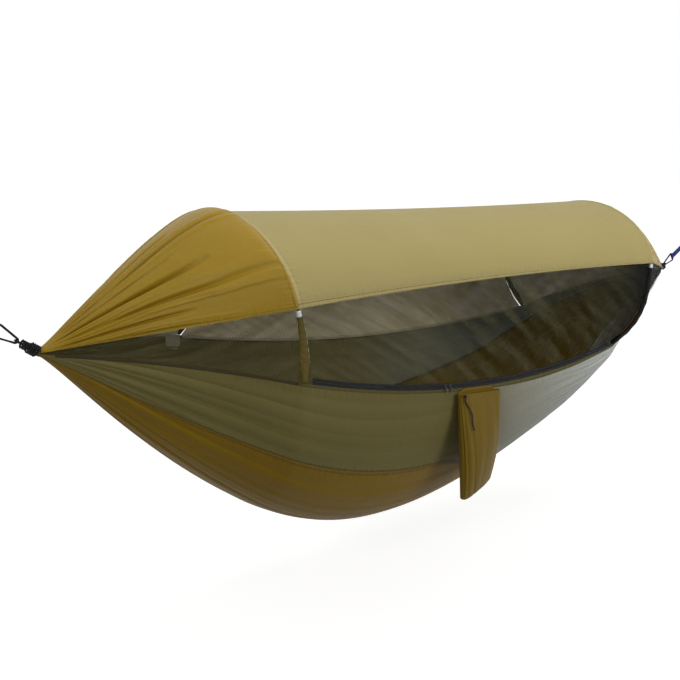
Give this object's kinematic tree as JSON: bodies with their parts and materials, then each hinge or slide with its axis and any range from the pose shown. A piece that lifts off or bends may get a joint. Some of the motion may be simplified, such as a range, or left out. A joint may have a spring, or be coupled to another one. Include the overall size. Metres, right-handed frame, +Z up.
{
  "type": "hammock tent",
  "caption": "Gathered-end hammock closed by a sun roof and insect nets on two pole hoops, with a zipped door, a hanging pouch and a carabiner with a strap at each end",
  "frame": {"origin": "middle of the rope where the left carabiner bears in its end loop", "axes": "+X from the left end to the right end, +Z up, the zipped door faces -Y"},
  "size_m": [2.9375, 0.7397, 1.0001],
  "materials": {
    "khaki_nylon": "matte ripstop nylon",
    "mustard_nylon": "thin gathered nylon with a soft sheen",
    "gold_nylon": "thin nylon with a soft sheen",
    "grey_nylon": "thin nylon, grey olive",
    "olive_net": "fine mesh, dark olive",
    "beige_net": "fine mesh, sunlit beige",
    "sleeve_olive": "woven, olive",
    "sleeve_dark": "woven, near black",
    "pouch_gold": "thin nylon, golden olive",
    "black_rope": "braided cord, black",
    "navy_rope": "braided cord, dark navy",
    "blue_webbing": "woven webbing, blue",
    "green_webbing": "woven webbing, green",
    "zip_tape": "woven tape with a moulded bead, navy",
    "pole": "glass fibre rod, dark grey",
    "white_plastic": "moulded, white",
    "black_rubber": "moulded, black",
    "black_metal": "anodised, satin black",
    "steel": "satin"
  },
  "bodies": {
    "hammock": {"roof_panel": "khaki_nylon", "left_end_cap": "mustard_nylon", "right_end_cap": "mustard_nylon", "bed_front_panel": "grey_nylon", "bed_centre_panel": "gold_nylon", "bed_back_panel": "grey_nylon", "front_net": "olive_net", "front_net_left_wedge": "olive_net", "front_net_right_wedge": "olive_net", "back_net": "beige_net", "back_net_left_wedge": "beige_net", "back_net_right_wedge": "beige_net", "door_zip_tape_lower": "zip_tape", "door_zip_tape_upper": "zip_tape", "left_end_winding": "navy_rope", "right_end_winding": "navy_rope", "left_end_loop": "black_rope", "right_end_loop": "black_rope"},
    "left_hoop": {"left_arch_pole": "pole", "left_near_leg_pole": "pole", "left_near_pole_fitting": "white_plastic", "left_near_sleeve_ring": "black_rubber", "left_near_leg_sleeve": "sleeve_olive", "left_near_foot_pocket": "sleeve_dark", "left_far_leg_pole": "pole", "left_far_pole_fitting": "white_plastic", "left_far_sleeve_ring": "black_rubber", "left_far_leg_sleeve": "sleeve_dark", "left_far_foot_pocket": "sleeve_dark"},
    "right_hoop": {"right_arch_pole": "pole", "right_near_leg_pole": "pole", "right_near_pole_fitting": "white_plastic", "right_near_sleeve_ring": "black_rubber", "right_near_leg_sleeve": "sleeve_dark", "right_near_foot_pocket": "sleeve_dark", "right_far_leg_pole": "pole", "right_far_pole_fitting": "white_plastic", "right_far_sleeve_ring": "black_rubber", "right_far_leg_sleeve": "sleeve_dark", "right_far_foot_pocket": "sleeve_dark"},
    "left_zip_slider": {"left_slider": "black_metal"},
    "left_zip_pull": {"left_pull": "black_metal"},
    "left_carabiner": {"left_carabiner_body": "black_metal", "left_gate_rivet": "steel"},
    "left_carabiner_gate": {"left_gate": "steel"},
    "left_tree_strap": {"left_strap": "green_webbing"},
    "right_zip_slider": {"right_slider": "black_metal"},
    "right_zip_pull": {"right_pull": "black_metal"},
    "right_carabiner": {"right_carabiner_body": "black_metal", "right_gate_rivet": "steel"},
    "right_carabiner_gate": {"right_gate": "steel"},
    "right_tree_strap": {"right_strap": "blue_webbing"},
    "pouch": {"storage_pouch": "pouch_gold", "drawstring_knot": "black_rope", "drawstring_tail": "black_rope"}
  },
  "joints": [
    {"name": "left_hoop_fold", "type": "hinge", "parent": "hammock", "child": "left_hoop", "pos_m": [0.59815, -0.345, -0.11415], "axis": [-0.0665, 0.9977, -0.0087], "range_deg": [0, 50], "deforming": ["roof_panel", "left_end_cap", "front_net", "back_net", "front_net_left_wedge", "back_net_left_wedge"]},
    {"name": "right_hoop_fold", "type": "hinge", "parent": "hammock", "child": "right_hoop", "pos_m": [1.91415, -0.268, -0.21415], "axis": [0.1669, 0.9824, 0.0834], "range_deg": [-50, 0], "deforming": ["right_end_cap", "front_net_right_wedge", "back_net_right_wedge"]},
    {"name": "left_slider_run", "type": "hinge", "parent": "hammock", "child": "left_zip_slider", "pos_m": [1.40239, 0.76311, 2.57483], "axis": [0.0816, -0.9303, 0.3577], "range_deg": [-8.44, 0]},
    {"name": "right_slider_run", "type": "hinge", "parent": "hammock", "child": "right_zip_slider", "pos_m": [1.40239, 0.76311, 2.57483], "axis": [0.0816, -0.9303, 0.3577], "range_deg": [0, 14.99]},
    {"name": "left_pull_swing", "type": "hinge", "parent": "left_zip_slider", "child": "left_zip_pull", "pos_m": [1.07224, -0.34336, -0.2121], "axis": [0.9906, 0.0363, -0.1317], "range_deg": [-150, 0]},
    {"name": "right_pull_swing", "type": "hinge", "parent": "right_zip_slider", "child": "right_zip_pull", "pos_m": [1.09206, -0.34261, -0.21467], "axis": [0.9913, 0.0387, -0.1256], "range_deg": [-150, 0]},
    {"name": "left_carabiner_swing", "type": "hinge", "parent": "hammock", "child": "left_carabiner", "pos_m": [0, 0, 0], "axis": [0, 1, 0], "range_deg": [-20, 20]},
    {"name": "right_carabiner_swing", "type": "hinge", "parent": "hammock", "child": "right_carabiner", "pos_m": [2.58272, 0, -0.02165], "axis": [0, 1, 0], "range_deg": [-20, 20]},
    {"name": "left_gate_open", "type": "hinge", "parent": "left_carabiner", "child": "left_carabiner_gate", "pos_m": [-0.00933, 0, -0.00255], "axis": [0, 1, 0], "range_deg": [0, 26], "stiffness_Nm_per_rad": 0.1, "springref_deg": -28.65},
    {"name": "right_gate_open", "type": "hinge", "parent": "right_carabiner", "child": "right_carabiner_gate", "pos_m": [2.59167, 0, -0.02532], "axis": [0, 1, 0], "range_deg": [-26, 0], "stiffness_Nm_per_rad": 0.1, "springref_deg": 28.65},
    {"name": "left_strap_swing", "type": "hinge", "parent": "left_carabiner", "child": "left_tree_strap", "pos_m": [-0.04129, 0, 0.03111], "axis": [0.6018, 0, 0.7986], "range_deg": [-35, 35]},
    {"name": "right_strap_swing", "type": "hinge", "parent": "right_carabiner", "child": "right_tree_strap", "pos_m": [2.6275, 0, 0.0042], "axis": [-0.5, 0, 0.866], "range_deg": [-35, 35]},
    {"name": "pouch_swing", "type": "hinge", "parent": "hammock", "child": "pouch", "pos_m": [1.19624, -0.33778, -0.23685], "axis": [0.9943, 0.0514, -0.0931], "range_deg": [-35, 0]}
  ],
  "couplings": [
    {"joint": "right_hoop_fold", "follows": "left_hoop_fold", "ratio": -1}
  ]
}
